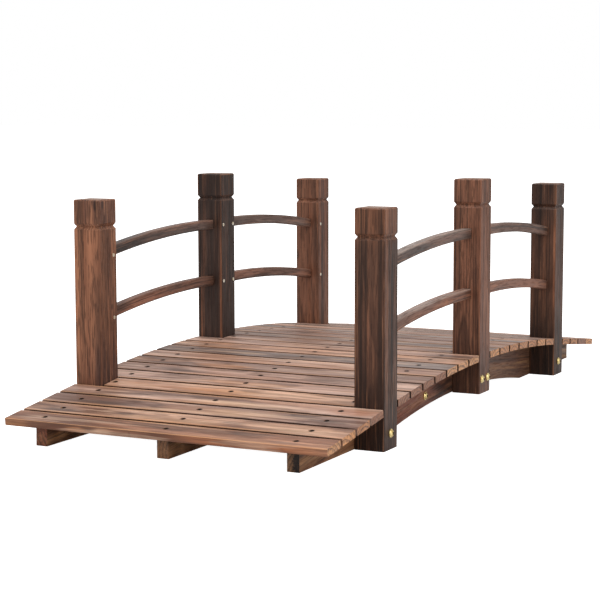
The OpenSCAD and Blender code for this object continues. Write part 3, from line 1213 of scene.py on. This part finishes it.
def fixing_tree(name, sizes, draw_head, finish):
    """A tree with a named input for each size. draw_head makes one head from them, looking along +Z."""
    tree = bpy.data.node_groups.new(name, "GeometryNodeTree")
    tree.interface.new_socket("Points", in_out="INPUT", socket_type="NodeSocketGeometry")
    for size in sizes:
        tree.interface.new_socket(size, in_out="INPUT", socket_type="NodeSocketFloat")
    tree.interface.new_socket("Fixings", in_out="OUTPUT", socket_type="NodeSocketGeometry")
    start = Strand(tree)
    points = start.node("NodeGroupInput", out="Points")
    head = draw_head(start, {size: points.beside(size) for size in sizes})
    look = start.node("GeometryNodeInputNamedAttribute", {"data_type": "FLOAT_VECTOR"}, {"Name": "facing"})
    turn = start.node("FunctionNodeAlignRotationToVector", {"axis": "Z"}, {"Vector": look})
    spin = start.node("FunctionNodeRandomValue", {}, {2: 0.0, 3: math.tau, "Seed": SPIN_SEED}, out=1)
    about = start.node("ShaderNodeCombineXYZ", {}, {"Z": spin})
    turning = {"Rotation": turn, "Rotate By": about}
    spun = start.node("FunctionNodeRotateRotation", {"rotation_space": "LOCAL"}, turning)
    placing = {"Points": points, "Instance": head, "Rotation": spun}
    placed = start.node("GeometryNodeInstanceOnPoints", {}, placing)
    real = start.node("GeometryNodeRealizeInstances", {}, {"Geometry": placed})
    finished = start.node("GeometryNodeSetMaterial", {}, {"Geometry": real, "Material": finish})
    start.node("NodeGroupOutput", {}, {"Fixings": finished})
    return tree


def set_fixings(name, places, tree, sizes):
    """Run a tree on its seats and keep the result as a plain mesh that rides with the bridge."""
    piece = seats(name, places)
    modifier = piece.modifiers.new("fixings", "NODES")
    modifier.node_group = tree
    inputs = [item for item in tree.interface.items_tree if item.in_out == "INPUT"]
    identifiers = {item.name: item.identifier for item in inputs}
    for size, value in sizes.items():
        modifier[identifiers[size]] = value
    evaluated = piece.evaluated_get(bpy.context.evaluated_depsgraph_get())
    mesh = bpy.data.meshes.new_from_object(evaluated)
    piece.modifiers.clear()
    piece.data = mesh
    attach(piece, "root")
    print(name, len(places), "pieces,", len(mesh.polygons), "faces")
    return piece


print("fixings: each head is spun about its axis, from seed", SPIN_SEED)

# %% [markdown]
# ## Screws
# A countersunk head shows as a flat disc with a cross pressed into it. A boolean could cut the cross,
# but it leaves slivers. Here the head is turned, as on a lathe: a flat grid is bent round, with each
# row at its own radius and height, and the rows of the recess follow the outline of a cross. Three
# dark screws hold each board, one to each stringer. Small bright ones pin the rail ends in the posts.

# %% A grid bent round into a turned shape
MERGE_REACH = 0.005 * MM


def around(start):
    """The angle of each point of a turned shape: its place along the flat grid."""
    spot = start.node("GeometryNodeInputPosition")
    return (start.node("ShaderNodeSeparateXYZ", {}, {"Vector": spot}) + 0.5) * math.tau


def turned(start, profile, sides, smooth_from, smooth_to):
    """A closed shape from rows of radius and height, bottom centre first, smooth between two rows."""
    last = len(profile) - 1
    grid_sizes = {"Size X": 1.0, "Size Y": 1.0, "Vertices X": sides + 1, "Vertices Y": last + 1}
    grid = start.node("GeometryNodeMeshGrid", {}, grid_sizes)
    spot = start.node("GeometryNodeInputPosition")
    parts = start.node("ShaderNodeSeparateXYZ", {}, {"Vector": spot})
    row = (parts.beside("Y") + 0.5) * last
    radius, height = 0.0, 0.0
    for number, (row_radius, row_height) in enumerate(profile):
        here = start.math("MAXIMUM", 1.0 - abs(row - number), 0.0)
        radius = here * row_radius + radius
        height = here * row_height + height
    smooth = start.math("GREATER_THAN", row, smooth_from) * start.math("LESS_THAN", row, smooth_to)
    flat = start.node("GeometryNodeSetShadeSmooth", {}, {"Geometry": grid, "Shade Smooth": False})
    shaded = start.node("GeometryNodeSetShadeSmooth", {}, {"Geometry": flat, "Selection": smooth})
    angle = around(start)
    x = start.math("COSINE", angle) * radius
    y = start.math("SINE", angle) * radius
    bent = start.node("ShaderNodeCombineXYZ", {}, {"X": x, "Y": y, "Z": height})
    wrapped = start.node("GeometryNodeSetPosition", {}, {"Geometry": shaded, "Position": bent})
    return start.node("GeometryNodeMergeByDistance", {}, {"Geometry": wrapped, "Distance": MERGE_REACH})


print("turned shapes: seams closer than", MERGE_REACH / MM, "mm are merged")

# %% Screw heads
SCREW_SIDES = 24
LEAST_SINE = 0.001


def cross_outline(start, length, width):
    """How far the edge of a cross lies from its middle, all the way round."""
    folded = start.math("PINGPONG", around(start), math.pi / 4)
    bar_end = length / 2.0 / start.math("COSINE", folded)
    bar_side = width / 2.0 / start.math("MAXIMUM", start.math("SINE", folded), LEAST_SINE)
    return start.math("MINIMUM", bar_end, bar_side)


def screw_head(start, size):
    """A disc of the given thickness about z 0, with a cross-shaped recess in its top."""
    radius = size["Head"] / 2.0
    top = size["Thickness"] / 2.0
    cross = cross_outline(start, size["Recess length"], size["Recess width"])
    bottom = 0.0 - top
    recess = top - size["Recess depth"]
    disc = [(0.0, bottom), (radius, bottom), (radius, top)]
    profile = disc + [(cross, top), (cross, recess), (0.0, recess)]
    return turned(start, profile, SCREW_SIDES, 0, 0)


DECK_SCREW = {
    "Head": 9.2 * MM,
    "Thickness": 1.6 * MM,
    "Recess length": 5.0 * MM,
    "Recess width": 1.3 * MM,
    "Recess depth": 1.0 * MM,
}
RAIL_SCREW = {
    "Head": 7.0 * MM,
    "Thickness": 1.4 * MM,
    "Recess length": 3.8 * MM,
    "Recess width": 1.0 * MM,
    "Recess depth": 0.8 * MM,
}
print("screw heads:", [round(size["Head"] / MM, 1) for size in (DECK_SCREW, RAIL_SCREW)], "mm wide")

# %% Deck screws
DECK_SCREW_SINK = 1.1 * MM
deck_places = []
for lie in board_lies:
    surface = lie.half.z - DECK_SCREW_SINK - DECK_SCREW["Thickness"] / 2
    for row in stringer_rows:
        along = lie.axes[0] * (row - lie.centre.y)
        deck_places.append((lie.centre + along + lie.axes[2] * surface, lie.axes[2]))
deck_screw_tree = fixing_tree("deck_screw_heads", DECK_SCREW, screw_head, dark_steel)
set_fixings("deck_screws", deck_places, deck_screw_tree, DECK_SCREW)

# %% Rail screws
END_POST_SCREW = 12.0 * MM
MID_POST_SCREW = 8.5 * MM
RAIL_SCREW_STAND = 0.9 * MM
POSTS_OF_BAY = {"near": ("near", "mid"), "far": ("mid", "far")}

screw_lift = RAIL_SCREW_STAND - RAIL_SCREW["Thickness"] / 2
rail_places = []
for name in rail_names:
    side, bay = name.split("_")[1:3]
    look = Vector((0.0, -1.0 if side == "left" else 1.0, 0.0))
    rail_low, rail_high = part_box(name)
    for post, end_x, ahead in zip(POSTS_OF_BAY[bay], (rail_low.x, rail_high.x), (1, -1)):
        post_low, post_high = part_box("post_%s_%s" % (side, post))
        face_x = post_high.x if ahead > 0 else post_low.x
        inner_y = post_low.y if side == "left" else post_high.y
        depth = MID_POST_SCREW if post == "mid" else END_POST_SCREW
        place = Vector((face_x - ahead * depth, inner_y, rail_end_height(name, end_x)))
        rail_places.append((place + look * screw_lift, look))
rail_screw_tree = fixing_tree("rail_screw_heads", RAIL_SCREW, screw_head, bright_steel)
set_fixings("rail_screws", rail_places, rail_screw_tree, RAIL_SCREW)

# %% [markdown]
# ## Bolts
# The bolts have a wide low dome on a thin flange, with a hexagonal socket. The head is turned in the
# same way as the screws: flange, dome, then down the six walls of the socket. On the inner end sit a
# washer and a nut. The places come from the posts and stringers that the bolts hold together.

# %% Bolt heads
BOLT_SIDES = 48
DOME_SHARE = 0.9
DOME_ANGLES = [math.radians(angle) for angle in (0, 20, 40, 60)]
SOCKET_SHARE = 0.2
FLANGE_ROWS = 3
HEX_SIDES = 6


def bolt_head(start, size):
    """A flange and a dome, with a hexagonal socket, standing on z 0 and sunk a flange deep below it."""
    radius = size["Head"] / 2.0
    dome = radius * DOME_SHARE
    top = size["Flange"]
    folded = start.math("PINGPONG", around(start), math.pi / HEX_SIDES)
    hexagon = size["Socket"] / 2.0 / start.math("COSINE", folded)
    reach = hexagon / dome
    rim = start.math("SQRT", 1.0 - reach * reach) * size["Dome"] + top
    floor = size["Dome"] * SOCKET_SHARE + top
    bottom = 0.0 - top
    profile = [(0.0, bottom), (radius, bottom), (radius, top)]
    for angle in DOME_ANGLES:
        profile.append((dome * math.cos(angle), size["Dome"] * math.sin(angle) + top))
    profile += [(hexagon, rim), (hexagon, floor), (0.0, floor)]
    return turned(start, profile, BOLT_SIDES, FLANGE_ROWS, FLANGE_ROWS + len(DOME_ANGLES))


BOLT = {"Head": 16.6 * MM, "Flange": 1.2 * MM, "Dome": 4.4 * MM, "Socket": 5.6 * MM}
print("bolt heads:", round((BOLT["Flange"] + BOLT["Dome"]) / MM, 1), "mm high before the socket")

# %% Nuts, washers and dark plates of painted shade in the sockets
ACROSS_CORNERS = 2 / math.sqrt(3)
WASHER_SIDES = 28
SHANK_SIDES = 20
SHANK_START = 0.5


def nut_and_washer(start, size):
    """A washer, a nut and the bolt's end, standing on z 0."""
    shapes = []
    for sides, width, low, high in (
        (WASHER_SIDES, size["Washer"], 0.0, size["Washer thickness"]),
        (HEX_SIDES, size["Nut"] * ACROSS_CORNERS, size["Washer thickness"], size["Nut top"]),
        (SHANK_SIDES, size["Bolt"], size["Nut top"] * SHANK_START, size["Bolt end"]),
    ):
        rod_sizes = {"Vertices": sides, "Radius": width / 2.0, "Depth": high - low}
        rod = start.node("GeometryNodeMeshCylinder", {}, rod_sizes)
        lift = start.node("ShaderNodeCombineXYZ", {}, {"Z": (high + low) / 2.0})
        shapes.append(start.node("GeometryNodeTransform", {}, {"Geometry": rod, "Translation": lift}))
    together = start.node("GeometryNodeJoinGeometry")
    for shape in shapes:
        start.tree.links.new(shape.socket, together.socket.node.inputs["Geometry"])
    return together


def socket_shade_plate(start, size):
    """A dark plate in a bolt's socket, a little above where the socket ends: painted shade of the socket.
    """
    radius = size["Socket"] * ACROSS_CORNERS / 2.0
    plate_sizes = {"Vertices": HEX_SIDES, "Radius": radius, "Depth": size["Thickness"]}
    floor = start.node("GeometryNodeMeshCylinder", {}, plate_sizes)
    lift = start.node("ShaderNodeCombineXYZ", {}, {"Z": size["Height"]})
    return start.node("GeometryNodeTransform", {}, {"Geometry": floor, "Translation": lift})


# A dark plate of painted shade in each bolt's socket.
SOCKET_SHADE_PLATE = {"Socket": 5.4 * MM, "Thickness": 0.8 * MM, "Height": 3.6 * MM}
NUT = {
    "Washer": 18.0 * MM,
    "Washer thickness": 1.4 * MM,
    "Nut": 12.6 * MM,
    "Nut top": 7.4 * MM,
    "Bolt": 7.8 * MM,
    "Bolt end": 10.0 * MM,
}
print("nuts:", round(NUT["Nut"] / MM, 1), "mm across flats")

# %% Bolts through posts, stringers and cleats
POST_BOLT_HEIGHT = 30.5 * MM
MID_BOLT_OFFSET = 16.5 * MM
MID_BOLT_HEIGHT = 62.0 * MM
CLEAT_BOLT_OFFSET = 178.0 * MM
CLEAT_BOLT_HEIGHT = 47.0 * MM

head_places = []
nut_places = []


def bolt_through(x, z, head_y, nut_y):
    """One bolt across the bridge, its head at head_y and its nut at nut_y."""
    look = Vector((0.0, math.copysign(1.0, head_y - nut_y), 0.0))
    head_places.append((Vector((x, head_y, z)), look))
    nut_places.append((Vector((x, nut_y, z)), -look))


for side, outward in (("left", 1), ("right", -1)):
    reach = 1 if outward > 0 else 0
    plank = [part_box("stringer_%s_near" % side)[end].y for end in (1 - reach, reach)]
    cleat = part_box("splice_cleat_" + side)[1 - reach].y
    for end in ("near", "far"):
        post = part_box("post_%s_%s" % (side, end))
        bolt_through((post[0].x + post[1].x) / 2, POST_BOLT_HEIGHT, post[reach].y, plank[0])
    mid_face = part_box("post_%s_mid" % side)[reach].y
    for sign in (-1, 1):
        bolt_through(sign * MID_BOLT_OFFSET, MID_BOLT_HEIGHT, mid_face, cleat)
        bolt_through(sign * CLEAT_BOLT_OFFSET, CLEAT_BOLT_HEIGHT, plank[1], cleat)
centre_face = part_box("stringer_centre_near")[0].y
centre_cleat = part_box("splice_cleat_centre")[1].y
for sign in (-1, 1):
    bolt_through(sign * MID_BOLT_OFFSET, MID_BOLT_HEIGHT, centre_face, centre_cleat)
    bolt_through(sign * CLEAT_BOLT_OFFSET, CLEAT_BOLT_HEIGHT, centre_face, centre_cleat)

head_tree = fixing_tree("bolt_heads", BOLT, bolt_head, brass)
socket_shade_tree = fixing_tree("bolt_sockets", SOCKET_SHADE_PLATE, socket_shade_plate, dark_steel)
nut_tree = fixing_tree("bolt_nuts", NUT, nut_and_washer, brass)
set_fixings("bolt_heads", head_places, head_tree, BOLT)
set_fixings("bolt_sockets", head_places, socket_shade_tree, SOCKET_SHADE_PLATE)
set_fixings("bolt_nuts", nut_places, nut_tree, NUT)
